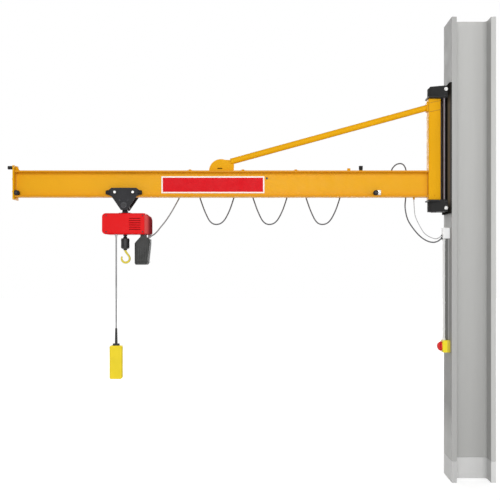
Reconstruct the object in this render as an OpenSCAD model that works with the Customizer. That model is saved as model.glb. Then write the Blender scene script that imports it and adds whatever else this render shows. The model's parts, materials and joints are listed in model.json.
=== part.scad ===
// Column-mounted jib crane with an electric chain hoist.
// Origin: centre of the column's foot. +Z up, boom towards -X.

/* [Column] */
// Depth of the column section, along the boom
column_d = 320; // [300:1:340]
// Width of the column flanges
column_w = 290; // [260:1:300]
// Thickness of the column flanges
column_tf = 36; // [20:1:40]
// Thickness of the column web
column_tw = 20; // [12:1:24]
// Height of the column
column_h = 3370; // [3200:10:4000]
// Height of the foot piece below the site joint
foot_h = 158; // [100:1:200]

/* [Pivot] */
// Distance of the pivot axis from the column's face
pivot_reach = 105; // [105:1:115]
// Width of the square mast tube
mast_w = 90; // [80:1:90]
// Height of the mast's lower end above the floor
mast_z0 = 2055; // [2000:1:2060]
// Length of the mast tube
mast_len = 740; // [738:1:760]
// Diameter of the pivot pins
pin_d = 36; // [30:1:40]

/* [Boom] */
// Height of the boom section
boom_h = 194; // [190:1:196]
// Width of the boom flanges
boom_w = 100; // [96:1:104]
// Thickness of the boom flanges
boom_tf = 12; // [9:1:13]
// Thickness of the boom web
boom_tw = 8; // [6:1:10]
// Height of the boom's underside above the floor
boom_z0 = 2074; // [2070:1:2080]
// Reach from the pivot axis to the outer face of the end plate
boom_reach = 3097; // [3080:1:3120]
// Diameter of the tie strut
strut_d = 46; // [40:1:48]

/* [Trolley] */
// Distance of the trolley's centre from the pivot axis
trolley_reach = 2280; // [2270:1:2290]
// Diameter of the trolley wheels
wheel_d = 44; // [40:1:46]
// Height of the hoist body's underside above the floor
hoist_z0 = 1798; // [1796:1:1800]
// Length of the hoist body
hoist_len = 347; // [340:1:352]
// Height of the hoist body
hoist_h = 155; // [150:1:156]
// Width of the hoist body
hoist_w = 190; // [186:1:196]

/* [Festoon] */
// Distance of the festoon rail from the boom's middle plane
rail_y = 130; // [128:1:134]
// Spacing of the cable carriers
carrier_pitch = 400; // [400:1:402]
// Diameter of the festoon cable
cable_d = 10; // [8:1:11]

/* [Hidden] */
$fn = 64;

// running clearance between a pin and its bore, on the radius
fit = 0.05;

// column and pivot
face_x = -column_d / 2;
pivot_x = face_x - pivot_reach;
column_fillet = 24;
seam_h = 4;
seam_inset = 4;
plate_t = 15;
plate_x = face_x - plate_t;
plate_z0 = 1951;
plate_z1 = 2897;
bracket_gap = 5;
bracket_h = 85;
bracket_w = 162;
bracket_t = 10;
nose_r = 47;
lip_x0 = pivot_x - 50;
lip_w = 150;
cheek_x = plate_x - 30;
flare = atan2(bracket_w / 2, cheek_x - pivot_x)
    + acos(nose_r / norm([cheek_x - pivot_x, bracket_w / 2]));
upper_z = mast_z0 + mast_len + bracket_gap;
lower_z = mast_z0 - bracket_gap;
lug_in = bracket_w / 2 - bracket_t - 12;
lug_x0 = plate_x - 26;
bolt_x = plate_x - 14;
bolt_z = 59;
bolt_d = 16;
bolt_af = 24;
tube_d = 20;
tube_x = plate_x - 23.5;
tube_y = 65;

// electrical boxes on the column's face
box_x0 = -209;
box_y = -45;
box_w = 60;
box_z0 = 1767;
box_h = 81;
isolator_x0 = -216;
isolator_y = -52;
isolator_w = 80;
isolator_z0 = 936;
isolator_h = 88;
knob_z = isolator_z0 + isolator_h / 2;
conduit_x = -197;
conduit_d = 18;

// mast and boom
mast_t = 6;
mast_r = 7;
mast_cap = 25;
boom_x1 = pivot_x - mast_w / 2;
end_t = 10;
end_x0 = pivot_x - boom_reach;
boom_x0 = end_x0 + end_t;
boom_z1 = boom_z0 + boom_h;
boom_zm = boom_z0 + boom_h / 2;
boom_fillet = 12;
strut_top = [boom_x1, 0, 2737];
strut_foot = [-1765, 0, 2338];
strut_lean = atan2(strut_top[2] - strut_foot[2], strut_top[0] - strut_foot[0]);
strut_len = norm(strut_top - strut_foot);
gusset_x = -1837;
gusset_r = 88;
gusset_t = 20;

// trolley and hoist
trolley_x = pivot_x - trolley_reach;
plate_in = 56;
side_t = 8;
plate_out = plate_in + side_t;
wheel_x = 66;
wheel_z = boom_z0 + boom_tf + wheel_d / 2;
wheel_in = 28;
wheel_out = 46;
axle_d = 16;
buffer_z = 2106;
buffer_d = 30;
bar_z = 2013;
bar_d = 24;
hoist_x0 = trolley_x - 154;
hoist_x1 = hoist_x0 + hoist_len;
hoist_z1 = hoist_z0 + hoist_h;
cap_len = 38;
cap_inset = 3;
body_x1 = hoist_x1 - cap_len;

// stops on the boom
stop_d = 37;
stop_z = boom_z0 + boom_tf + stop_d / 2;
spindle_d = 12;
stop_in = 34;
stop_out = 62;
outer_stop_x = -3333;
inner_stop_x = -698;

// festoon
rail_x0 = boom_x0;
rail_x1 = -775;
rail_z0 = 2240;
rail_z1 = 2270;
rail_t = 6;
clamp_x = -880;
carrier_xs = [for (i = [0:3]) clamp_x - i * carrier_pitch];
saddle_z = 2193;
saddle_half = 20;

// chain, hook and pendant
block_d = 62;
block_z0 = 1700;
block_z1 = 1771;
chain_d = 22;
pendant_x = -2598;
pendant_y = -78;
pendant_z0 = 744;
pendant_h = 243;
pendant_w = 92;
pendant_t = 52;
boot_h = 125;
pendant_cable_d = 11;
control_cable_d = 6;
gland_len = 20;
elbow = [-2377, 75, 1784];
lead_out = [14, 12, 8];
slew_gland = [-203, -45, 1778];
slew_nozzle = [-15.84, 0, -11.88];
control_gland = [-203, -28, 1796];
control_nozzle = [-11.84, 0, -8.88];
clip_x = -572;

// Routes of the cables, from one end to the other
loop_points = [
    [-180, 2193], [-177, 2193], [-174, 2193], [-163, 2190], [-155, 2181], [-149, 2165],
    [-142, 2143], [-134, 2118], [-122, 2076], [-107, 2032], [-91, 1988], [-73, 1947],
    [-54, 1911], [-30, 1887], [0, 1879], [33, 1887], [60, 1911], [82, 1947], [101, 1988],
    [117, 2032], [131, 2076], [143, 2118], [148, 2146], [152, 2168], [157, 2182], [165, 2190],
    [174, 2193], [177, 2193], [180, 2193]
];
lead_route = [
    [-2363, 87, 1792], [-2359.5, 90, 1794], [-2356, 93, 1796], [-2347, 100, 1802],
    [-2337, 106, 1811], [-2320, 112, 1829], [-2303, 117, 1852], [-2281, 122, 1880],
    [-2259, 126, 1909], [-2232, 129, 1950], [-2205, 130, 1995], [-2180, 130, 2040],
    [-2160, 130, 2078], [-2145, 130, 2110], [-2132, 130, 2150], [-2124, 130, 2174],
    [-2115, 130, 2188], [-2106, 130, 2193], [-2103, 130, 2193], [-2100, 130, 2193]
];
boom_cable_route = [
    [-860, 130, 2193], [-857, 130, 2193], [-854, 130, 2193], [-820, 127, 2186],
    [-780, 118, 2178], [-735, 104, 2180], [-690, 88, 2192], [-650, 74, 2202],
    [-620, 66, 2206], [-594, 64, 2206], [-590, 64, 2206], [-586, 64, 2206]
];
slew_route = [
    [-572, 64, 2218], [-572, 64, 2222], [-572, 64, 2226], [-571, 65, 2252], [-567, 68, 2280],
    [-552, 73, 2306], [-524, 79, 2328], [-490, 84, 2332], [-467, 88, 2314], [-455, 91, 2280],
    [-452, 92, 2220], [-454, 92, 2150], [-457, 92, 2080], [-462, 90, 2006], [-447, 78, 1921],
    [-413, 58, 1855], [-362, 30, 1789], [-311, 2, 1751], [-269, -20, 1741], [-241, -38, 1749],
    [-227, -45, 1760], [-223, -45, 1763], [-219, -45, 1766]
];
control_route = [
    [-406, 30, 2060], [-406, 30, 2056], [-406, 30, 2052], [-404, 29, 2005], [-397, 26, 1940],
    [-382, 20, 1899], [-364, 14, 1861], [-342, 4, 1821], [-317, -6, 1794], [-287, -17, 1777],
    [-257, -25, 1767], [-236, -28, 1772], [-223, -28, 1781], [-219, -28, 1784],
    [-215, -28, 1787]
];
pendant_route = [
    [-2598, -78, 1778], [-2598, -78, 1670], [-2598, -78, 1560], [-2598, -78, 1450],
    [-2598, -78, 1340], [-2598, -78, 1230], [-2598, -78, 1112]
];

// Middle line of the hook from its tip: X from the chain, Z, and the bar's radius there
hook_route = [
    [-23, 1638, 2], [-24, 1636, 4.4], [-26, 1631, 6], [-27, 1622, 6.8], [-25, 1611, 7.3],
    [-20, 1602.5, 7.7], [-12, 1596, 8.1], [-2.5, 1592.5, 8.3], [8.5, 1592.5, 8.3], [18, 1596, 8.2],
    [26, 1602.5, 8], [31, 1611.5, 7.8], [33, 1622, 7.6], [31, 1632.5, 7.5], [25.5, 1642, 7.5],
    [17, 1654, 7.5], [8, 1665.5, 7.7], [2, 1675, 8], [0, 1683, 8.5], [0, 1691.5, 8.5]
];

// ---- shapes shared by several sub-parts ----

// Rectangle with round corners, centred
module round_rect(w, h, r) {
    square([w - 2 * r, h], center = true);
    square([w, h - 2 * r], center = true);
    for (x = [-1, 1], y = [-1, 1])
        translate([x * (w / 2 - r), y * (h / 2 - r)]) circle(r);
}

// One concave fillet in the corner at the origin, towards +X +Y
module fillet(r) {
    difference() {
        square(r);
        translate([r, r]) circle(r);
    }
}

// Rolled H section: flanges across X at both ends, web along X
module h_section(d, w, tf, tw, r) {
    for (s = [-1, 1]) {
        translate([s * (d - tf) / 2, 0]) square([tf, w], center = true);
        for (t = [-1, 1])
            translate([s * (d / 2 - tf), t * tw / 2])
                scale([-s, t]) fillet(r);
    }
    square([d - 2 * tf, tw], center = true);
}

// Extrude an outline drawn in X and Z, y0 to y1
module along_y(y0, y1) {
    translate([0, y1, 0]) rotate([90, 0, 0]) linear_extrude(y1 - y0) children();
}

// Box from its two corners
module block(a, b) {
    translate(a) cube(b - a);
}

// Round bar along X
module bar_x(x0, x1, y, z, d) {
    translate([x0, y, z]) rotate([0, 90, 0]) cylinder(h = x1 - x0, d = d);
}

// Round bar along Y
module bar_y(x, y0, y1, z, d) {
    translate([x, y1, z]) rotate([90, 0, 0]) cylinder(h = y1 - y0, d = d);
}

// Hexagon head or nut with its axis along Y
module hex_y(x, y0, y1, z, af) {
    translate([x, y1, z]) rotate([90, 0, 0]) cylinder(h = y1 - y0, d = af / cos(30), $fn = 6);
}

// Round gland from the point p to p + g
module gland(p, g, d) {
    translate(p) rotate([0, acos(g[2] / norm(g)), atan2(g[1], g[0])]) cylinder(h = norm(g), d = d);
}

// ---- cables ----

function spline(a, b, c, d, t) =
    0.5 * (2 * b + (c - a) * t + (2 * a - 5 * b + 4 * c - d) * t * t
        + (3 * b - a - 3 * c + d) * t * t * t);

function smooth(p, n) = [
    for (i = [0:len(p) - 2], k = [0:n - 1])
        spline(p[max(i - 1, 0)], p[i], p[i + 1], p[min(i + 2, len(p) - 1)], k / n),
    p[len(p) - 1]
];

function unit(v) = v / norm(v);

function heading(p, i) = unit(p[min(i + 1, len(p) - 1)] - p[max(i - 1, 0)]);

// Ring of points round p, square to the direction t, with its zero angle towards side
function ring(p, t, side, r, n) =
    let (u = unit(side - (side * t) * t), v = cross(t, u))
    [for (k = [0:n - 1]) p + r * (cos(k * 360 / n) * u + sin(k * 360 / n) * v)];

// Round bar along the route p with radius r[i] at p[i]; side is a direction it never takes
module sweep(p, r, side, n) {
    m = len(p);
    points = [for (i = [0:m - 1]) each ring(p[i], heading(p, i), side, r[i], n)];
    walls = [
        for (i = [0:m - 2], k = [0:n - 1])
            [i * n + k, i * n + (k + 1) % n, (i + 1) * n + (k + 1) % n, (i + 1) * n + k]
    ];
    start = [for (k = [n - 1:-1:0]) k];
    finish = [for (k = [0:n - 1]) (m - 1) * n + k];
    polyhedron(points, concat([start], walls, [finish]));
}

module cable(route, d) {
    p = smooth(route, 2);
    sweep(p, [for (i = p) d / 2], [0, 1, 0], 10);
}

// Whole route of one festoon loop whose middle is at x
function loop_route(x) = [for (p = loop_points) [x + p[0], rail_y, p[1]]];

// ---- column ----

module column_foot() {
    color([0.78, 0.78, 0.78]) {
        linear_extrude(foot_h - seam_h)
            h_section(column_d, column_w, column_tf, column_tw, column_fillet);
        translate([0, 0, foot_h - seam_h]) linear_extrude(seam_h)
            h_section(
                column_d - 2 * seam_inset, column_w - 2 * seam_inset,
                column_tf - 2 * seam_inset, column_tw - 2 * seam_inset, column_fillet
            );
    }
}

module column_shaft() {
    color([0.72, 0.72, 0.72])
        translate([0, 0, foot_h]) linear_extrude(column_h - foot_h)
            h_section(column_d, column_w, column_tf, column_tw, column_fillet);
}

// Plate on the column's face, with the lugs that the two brackets bolt to
module console_plate() {
    color([0.2, 0.2, 0.2]) {
        block([plate_x, -column_w / 2, plate_z0], [face_x, column_w / 2, plate_z1]);
        for (z = [upper_z + bracket_t, lower_z - bracket_h + bracket_t], s = [-1, 1])
            difference() {
                block(
                    [lug_x0, s > 0 ? lug_in : -lug_in - 12, z],
                    [plate_x, s > 0 ? lug_in + 12 : -lug_in, z + bracket_h - 2 * bracket_t]
                );
                for (end_z = [upper_z + bolt_z, lower_z - bolt_z])
                    bar_y(bolt_x, -bracket_w, bracket_w, end_z, bolt_d + 1);
            }
    }
}

// Plan of a bracket whose walls are moved in by t: a round nose that widens to straight cheeks
module bracket_plan(t) {
    r = nose_r - t;
    w = bracket_w / 2 - t;
    tangent = [pivot_x + r * cos(flare), r * sin(flare)];
    corner_x = cheek_x + t * tan((flare - 90) / 2);
    translate([pivot_x, 0]) circle(r);
    polygon([
        [tangent[0], -tangent[1]], [corner_x, -w], [plate_x, -w],
        [plate_x, w], [corner_x, w], tangent
    ]);
}

// Welded bracket above its wider mast-side plate, open towards the column
module bracket() {
    difference() {
        union() {
            linear_extrude(bracket_h) bracket_plan(0);
            block([lip_x0, -lip_w / 2, 0], [plate_x, lip_w / 2, bracket_t]);
        }
        translate([0, 0, bracket_t]) linear_extrude(bracket_h - 2 * bracket_t)
            bracket_plan(bracket_t);
        translate([pivot_x, 0, -1]) cylinder(h = bracket_h + 2, d = pin_d + 2 * fit);
        bar_y(bolt_x, -bracket_w, bracket_w, bolt_z, bolt_d + 1);
    }
}

// The upper bracket's nose is bevelled at the top
module upper_bracket() {
    color([0.21, 0.21, 0.21])
        translate([0, 0, upper_z]) difference() {
            bracket();
            translate([pivot_x - nose_r, 0, bracket_h - 16]) rotate([0, -45, 0])
                translate([-40, -nose_r, 0]) cube([80, 2 * nose_r, 40]);
        }
}

module lower_bracket() {
    color([0.21, 0.21, 0.21]) translate([0, 0, lower_z]) mirror([0, 0, 1]) bracket();
}

module spacer_tubes() {
    color([0.5, 0.48, 0.5])
        for (y = [-tube_y, tube_y])
            translate([tube_x, y, lower_z]) cylinder(h = upper_z - lower_z, d = tube_d);
}

// Pin with a head outside the bracket and a thrust collar at the mast
module pivot_pin() {
    translate([0, 0, -bracket_gap - mast_cap])
        cylinder(h = mast_cap + bracket_h + bracket_gap, d = pin_d);
    translate([0, 0, bracket_h]) cylinder(h = 4, d = pin_d + 8);
    translate([0, 0, -bracket_gap + 0.2]) cylinder(h = bracket_gap - 0.2, d = pin_d + 24);
}

module pivot_pins() {
    color([0.6, 0.6, 0.6]) {
        translate([pivot_x, 0, upper_z]) pivot_pin();
        translate([pivot_x, 0, lower_z]) mirror([0, 0, 1]) pivot_pin();
    }
}

module bracket_bolts() {
    color([0.85, 0.85, 0.83])
        for (z = [upper_z + bolt_z, lower_z - bolt_z]) {
            bar_y(bolt_x, -bracket_w / 2, bracket_w / 2, z, bolt_d);
            hex_y(bolt_x, -bracket_w / 2 - 10, -bracket_w / 2, z, bolt_af);
            hex_y(bolt_x, bracket_w / 2, bracket_w / 2 + 13, z, bolt_af);
        }
}

// Box and lid on the column's face, with one gland for each of the two hanging cables
module junction_box() {
    y0 = box_y - box_w / 2;
    y1 = box_y + box_w / 2;
    color([0.95, 0.95, 0.94]) {
        block([box_x0 + 9, y0 + 1, box_z0 + 1], [face_x, y1 - 1, box_z0 + box_h - 1]);
        block([box_x0, y0, box_z0], [box_x0 + 9, y1, box_z0 + box_h]);
        gland(slew_gland, slew_nozzle, 15);
        gland(control_gland, control_nozzle, 10);
    }
}

module supply_conduit() {
    color([0.8, 0.8, 0.8])
        translate([conduit_x, box_y, isolator_z0 + isolator_h])
            cylinder(h = box_z0 - isolator_z0 - isolator_h, d = conduit_d);
}

module isolator_box() {
    y0 = isolator_y - isolator_w / 2;
    y1 = isolator_y + isolator_w / 2;
    color([0.93, 0.75, 0.1]) {
        block([isolator_x0 + 4, y0, isolator_z0], [face_x, y1, isolator_z0 + isolator_h]);
        bar_x(isolator_x0, isolator_x0 + 4, isolator_y, knob_z, 68);
    }
}

// Rotary switch handle: a round base with a domed grip across it
module isolator_knob() {
    color([0.85, 0.1, 0.1]) {
        bar_x(isolator_x0 - 10, isolator_x0 - 0.5, isolator_y, knob_z, 70);
        intersection() {
            translate([isolator_x0 + 3.5, isolator_y, knob_z]) sphere(r = 37.5);
            block(
                [isolator_x0 - 35, isolator_y - 11, knob_z - 34.8],
                [isolator_x0 - 9, isolator_y + 11, knob_z + 34.8]
            );
        }
    }
}

// ---- jib ----

module mast() {
    color([0.92, 0.68, 0.16])
        translate([pivot_x, 0, mast_z0])
            difference() {
                linear_extrude(mast_len) round_rect(mast_w, mast_w, mast_r);
                translate([0, 0, mast_cap]) linear_extrude(mast_len - 2 * mast_cap)
                    round_rect(mast_w - 2 * mast_t, mast_w - 2 * mast_t, mast_r - mast_t);
                translate([0, 0, -1]) cylinder(h = mast_len + 2, d = pin_d + 2 * fit);
            }
}

module boom_beam() {
    color([0.92, 0.68, 0.16])
        translate([boom_x1, 0, boom_zm]) rotate([0, -90, 0])
            linear_extrude(boom_x1 - boom_x0)
                h_section(boom_h, boom_w, boom_tf, boom_tw, boom_fillet);
}

// Tube from the mast down to the boom, slotted over the gusset
module tie_strut() {
    color([0.92, 0.7, 0.16]) {
        difference() {
            translate(strut_foot) rotate([0, 90 - strut_lean, 0])
                difference() {
                    cylinder(h = strut_len + 30, d = strut_d);
                    translate([0, 0, -1]) cylinder(h = strut_len + 32, d = strut_d - 8);
                }
            block([boom_x1 - 10, -50, 2650], [boom_x1 + 60, 50, 2850]);
            gusset_solid();
        }
        block([boom_x1 - 10, -31, 2706], [boom_x1, 31, 2772]);
    }
}

module gusset_solid() {
    along_y(-gusset_t / 2, gusset_t / 2)
        intersection() {
            union() {
                translate([gusset_x, boom_z1]) circle(gusset_r);
                translate([gusset_x, boom_z1]) square([96, gusset_r - 6]);
            }
            translate([gusset_x - 100, boom_z1]) square([200, 120]);
        }
}

module strut_gusset() {
    color([0.92, 0.7, 0.16])
        difference() {
            gusset_solid();
            along_y(-gusset_t, gusset_t)
                translate([gusset_x - 8, boom_z1 + 19]) round_rect(38, 8, 3);
        }
}

module end_plate() {
    color([0.88, 0.64, 0.15]) {
        block([end_x0, -60, boom_z0 - 20], [boom_x0, 60, boom_z1 + 38]);
        along_y(-5, 5) polygon([
            [boom_x0, boom_z1], [boom_x0 + 31, boom_z1], [boom_x0 + 4, boom_z1 + 34],
            [boom_x0, boom_z1 + 34]
        ]);
        along_y(-5, 5) polygon([
            [boom_x0, boom_z0], [boom_x0 + 14, boom_z0], [boom_x0, boom_z0 - 14]
        ]);
    }
}

// Rubber rollers on spindles from the web, on both sides, which the trolley runs against
module trolley_stops() {
    color([0.08, 0.08, 0.09])
        for (x = [outer_stop_x, inner_stop_x]) {
            bar_y(x, boom_tw / 2, stop_in, stop_z, spindle_d);
            bar_y(x, stop_in, stop_out, stop_z, stop_d);
            bar_y(x, -stop_in, -boom_tw / 2, stop_z, spindle_d);
            bar_y(x, -stop_out, -stop_in, stop_z, stop_d);
        }
}

// Black end cap outside the end plate, and the knob that ends the festoon rail
module rail_end_caps() {
    color([0.05, 0.05, 0.05]) {
        bar_x(end_x0 - 50, end_x0, 0, boom_z1 + 25, 26);
        translate([-790, rail_y, rail_z1]) cylinder(h = 24, d = 26);
        translate([-790, rail_y, rail_z1 + 24]) cylinder(h = 26, d = 30);
    }
}

module sign_plate() {
    color([0.86, 0.1, 0.14])
        block([-2277, -boom_tw / 2 - 2.5, 2104], [-1516, -boom_tw / 2, 2229]);
}

module festoon_rail() {
    color([0.7, 0.71, 0.72])
        block([rail_x0, rail_y - rail_t / 2, rail_z0], [rail_x1, rail_y + rail_t / 2, rail_z1]);
}

module rail_arms() {
    color([0.88, 0.66, 0.16])
        for (i = [0:4])
            translate([rail_x0 + 30 + i * (rail_x1 - rail_x0 - 60) / 4, 0, 0])
                block([-20, boom_w / 2, 2252], [20, rail_y - rail_t / 2, 2260]);
}

// Block that holds the cable under the rail
module saddle(x) {
    block([x - saddle_half, rail_y - 10, saddle_z - 11], [x + saddle_half, rail_y + 14, saddle_z + 11]);
}

// Clamp at the fixed end of the festoon, the block where the cable leaves the boom
// upwards, and the gland of the control cable under the boom
module fixed_cable_clamp() {
    color([0.88, 0.68, 0.16]) {
        saddle(clamp_x);
        block([clamp_x - 12, rail_y + rail_t / 2, saddle_z + 11], [clamp_x + 12, rail_y + 14, 2303]);
        block([clip_x - 14, boom_w / 2, 2194], [clip_x + 14, boom_w / 2 + 4, boom_z1 - 1]);
        block([clip_x - 14, boom_w / 2 + 4, 2194], [clip_x + 14, 78, 2218]);
        gland(control_route[0], [0, 0, boom_z0 - control_route[0][2]], 14);
    }
}

module boom_cable() {
    color([0.22, 0.22, 0.24]) cable(boom_cable_route, cable_d);
}

module slew_cable() {
    color([0.22, 0.22, 0.24]) cable(slew_route, cable_d);
}

module control_cable() {
    color([0.75, 0.75, 0.75]) cable(control_route, control_cable_d);
}

module festoon_loop_3() {
    color([0.22, 0.22, 0.24]) cable(loop_route((carrier_xs[0] + carrier_xs[1]) / 2), cable_d);
}

module festoon_loop_2() {
    color([0.22, 0.22, 0.24]) cable(loop_route((carrier_xs[1] + carrier_xs[2]) / 2), cable_d);
}

module festoon_loop_1() {
    color([0.22, 0.22, 0.24]) cable(loop_route((carrier_xs[2] + carrier_xs[3]) / 2), cable_d);
}

// Cable carrier: two grooved wheels on the rail, a yoke outside it and the saddle below
module carrier(x) {
    wheel_zc = rail_z1 + 8.3;
    color([0.9, 0.7, 0.16]) {
        for (s = [-1, 1]) {
            bar_y(x + s * 15, rail_y - 4, rail_y + 8, wheel_zc, 16);
            bar_y(x + s * 15, rail_y - 8, rail_y - 4, wheel_zc, 19);
            bar_y(x + s * 15, rail_y + 4, rail_y + 8, wheel_zc, 19);
        }
        block([x - 26, rail_y + 8, 2222], [x + 26, rail_y + 14, 2284]);
        block([x - 10, rail_y + 8, 2284], [x + 10, rail_y + 14, 2295]);
        block([x - saddle_half, rail_y + 8, saddle_z], [x + saddle_half, rail_y + 14, 2224]);
        saddle(x);
    }
}

module carrier_3() {
    carrier(carrier_xs[1]);
}

module carrier_2() {
    carrier(carrier_xs[2]);
}

module carrier_1() {
    carrier(carrier_xs[3]);
}

module hoist_lead() {
    color([0.22, 0.22, 0.24]) cable(lead_route, cable_d);
}

// ---- trolley and hoist ----

module trolley_side_plates() {
    outline = [
        [-91, 2140], [91, 2140], [118, 2118], [122, 2104], [117, 2089], [93, 2080], [29, 1987],
        [22, 1977], [-22, 1977], [-29, 1987], [-93, 2080], [-117, 2089], [-122, 2104], [-118, 2118]
    ];
    color([0.24, 0.25, 0.25])
        for (s = [-1, 1])
            difference() {
                along_y(s > 0 ? plate_in : -plate_out, s > 0 ? plate_out : -plate_in)
                    translate([trolley_x, 0]) polygon(outline);
                for (w = [-wheel_x, wheel_x])
                    bar_y(trolley_x + w, -100, 100, wheel_z, axle_d + 2 * fit);
                bar_y(trolley_x, -100, 100, bar_z, bar_d + 2 * fit);
            }
}

module trolley_wheels() {
    color([0.35, 0.36, 0.37])
        for (w = [-wheel_x, wheel_x]) {
            bar_y(trolley_x + w, wheel_in, wheel_out, wheel_z, wheel_d);
            bar_y(trolley_x + w, -wheel_out, -wheel_in, wheel_z, wheel_d);
        }
}

module wheel_axles() {
    color([0.85, 0.85, 0.82])
        for (w = [-wheel_x, wheel_x]) {
            bar_y(trolley_x + w, wheel_out, plate_out, wheel_z, axle_d);
            bar_y(trolley_x + w, -plate_out, -wheel_out, wheel_z, axle_d);
            hex_y(trolley_x + w, plate_out, plate_out + 8, wheel_z, 22);
            hex_y(trolley_x + w, -plate_out - 8, -plate_out, wheel_z, 22);
        }
}

module trolley_buffers() {
    color([0.07, 0.07, 0.08])
        for (y = [-60, 60], s = [-1, 1])
            difference() {
                bar_x(trolley_x + s * 116.5 - 15.5, trolley_x + s * 116.5 + 15.5, y, buffer_z, buffer_d);
                block(
                    [trolley_x + s * 111 - 11, y - side_t / 2, buffer_z - buffer_d],
                    [trolley_x + s * 111 + 11, y + side_t / 2, buffer_z + buffer_d]
                );
            }
}

module load_bar() {
    color([0.4, 0.4, 0.42]) {
        bar_y(trolley_x, -plate_out, plate_out, bar_z, bar_d);
        bar_y(trolley_x, -plate_in, -13, bar_z, 34);
        bar_y(trolley_x, 13, plate_in, bar_z, 34);
        bar_y(trolley_x, -plate_out - 7, -plate_out, bar_z, 46);
        bar_y(trolley_x, plate_out, plate_out + 7, bar_z, 46);
    }
}

module suspension_lug() {
    color([0.2, 0.2, 0.21])
        difference() {
            along_y(-13, 13) {
                translate([trolley_x, bar_z]) circle(24);
                translate([trolley_x - 20, hoist_z1]) square([40, bar_z - hoist_z1]);
                translate([trolley_x - 30, hoist_z1]) square([60, 8]);
            }
            bar_y(trolley_x, -20, 20, bar_z, bar_d + 2 * fit);
        }
}

// Cross-section of the hoist housing, for extruding along X
module hoist_section(inset) {
    translate([-(hoist_z0 + hoist_z1) / 2, 0])
        round_rect(hoist_h - 2 * inset, hoist_w - 2 * inset, 12);
}

module hoist_body() {
    r = 28;
    color([0.87, 0.15, 0.15])
        difference() {
            intersection() {
                translate([hoist_x0 - 10, 0, 0]) rotate([0, 90, 0])
                    linear_extrude(body_x1 - hoist_x0 + 10) hoist_section(0);
                along_y(-hoist_w, hoist_w)
                    difference() {
                        translate([hoist_x0, hoist_z0]) square([body_x1 - hoist_x0, hoist_h]);
                        translate([hoist_x0, hoist_z0]) fillet(r);
                        translate([hoist_x0, hoist_z1]) scale([1, -1]) fillet(r);
                    }
            }
            for (i = [0:5], y = [-hoist_w / 2 - 7, hoist_w / 2 - 7])
                translate([trolley_x + 42, y, hoist_z0 + 33 + i * 16]) cube([84, 14, 5]);
        }
}

// Cover on the hoist's end, with round corners in plan
module hoist_end_cap() {
    r = cap_len - 2;
    color([0.72, 0.3, 0.3])
        intersection() {
            translate([body_x1 - 10, 0, 0]) rotate([0, 90, 0])
                linear_extrude(cap_len + 20) hoist_section(cap_inset);
            along_y(-hoist_w, hoist_w) polygon([
                [body_x1, hoist_z0], [hoist_x1 - 8, hoist_z0], [hoist_x1, hoist_z0 + 14],
                [hoist_x1, hoist_z1 - 50], [hoist_x1 - 10, hoist_z1 - 24], [body_x1, hoist_z1 - 4]
            ]);
            translate([hoist_x1 - 100, 0, hoist_z0]) linear_extrude(hoist_h)
                round_rect(200, hoist_w - 2 * cap_inset, r);
        }
}

module chain_container() {
    color([0.2, 0.2, 0.2])
        intersection() {
            along_y(-60, 60) polygon([
                [-2425, hoist_z0], [-2425, 1782], [-2470, 1732], [-2469, 1588], [-2460, 1576],
                [-2384, 1576], [-2375, 1587], [-2357, 1741], [-2357, 1762], [-2393, 1782],
                [-2393, hoist_z0]
            ]);
            translate([-2413.5, 0, 1500]) linear_extrude(400) round_rect(113, 110, 18);
        }
}

// Straight gland of the pendant cable and angled gland of the festoon lead
module cable_glands() {
    color([0.1, 0.1, 0.1]) {
        translate([pendant_x, pendant_y, hoist_z0 - gland_len]) cylinder(h = gland_len, d = 16);
        translate([pendant_x, pendant_y, hoist_z0 - 8]) cylinder(h = 8, d = 22, $fn = 6);
        block(elbow - [9, 9, 9], [elbow[0] + 9, elbow[1] + 9, hoist_z0 + cap_inset]);
        gland(elbow, lead_out, 15);
    }
}

module pendant_cable() {
    color([0.2, 0.2, 0.21]) cable(pendant_route, pendant_cable_d);
}

module pendant_boot() {
    z = pendant_z0 + pendant_h;
    color([0.06, 0.06, 0.07]) {
        translate([pendant_x, pendant_y, z + 14]) cylinder(h = boot_h - 14, d1 = 20, d2 = 16);
        translate([pendant_x, pendant_y, z]) cylinder(h = 14, d = 50);
    }
}

module pendant_body() {
    color([0.92, 0.8, 0.14])
        translate([pendant_x, pendant_y, pendant_z0])
            intersection() {
                linear_extrude(pendant_h) round_rect(pendant_w, pendant_t, 10);
                along_y(-pendant_t, pendant_t)
                    translate([0, pendant_h / 2]) round_rect(pendant_w, pendant_h, 14);
            }
}

// Push buttons on the pendant's face, and its stop button at the top
module pendant_buttons() {
    y = pendant_y + pendant_t / 2;
    color([0.1, 0.1, 0.1]) {
        bar_y(pendant_x, y, y + 6, pendant_z0 + 195, 34);
        bar_y(pendant_x, y, y + 5, pendant_z0 + 130, 28);
        bar_y(pendant_x, y, y + 5, pendant_z0 + 85, 28);
    }
}

// ---- hook ----

module load_chain() {
    color([0.25, 0.25, 0.26])
        translate([trolley_x, 0, block_z1]) cylinder(h = hoist_z0 - block_z1, d = chain_d);
}

module hook_block() {
    color([0.07, 0.07, 0.09])
        translate([trolley_x, 0, 0]) {
            translate([0, 0, block_z0]) cylinder(h = block_z1 - block_z0 - 5, d = block_d);
            translate([0, 0, block_z1 - 5]) cylinder(h = 5, d1 = block_d, d2 = block_d - 8);
            translate([0, 0, block_z0 - 8]) cylinder(h = 8, d1 = block_d - 22, d2 = block_d);
        }
}

// Open forged hook, thickest in the bowl
module hook() {
    p = smooth([for (q = hook_route) [trolley_x + q[0], 0, q[1]]], 2);
    r = smooth([for (q = hook_route) q[2]], 2);
    color([0.85, 0.74, 0.2]) sweep(p, r, [0, 1, 0], 16);
}

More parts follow.
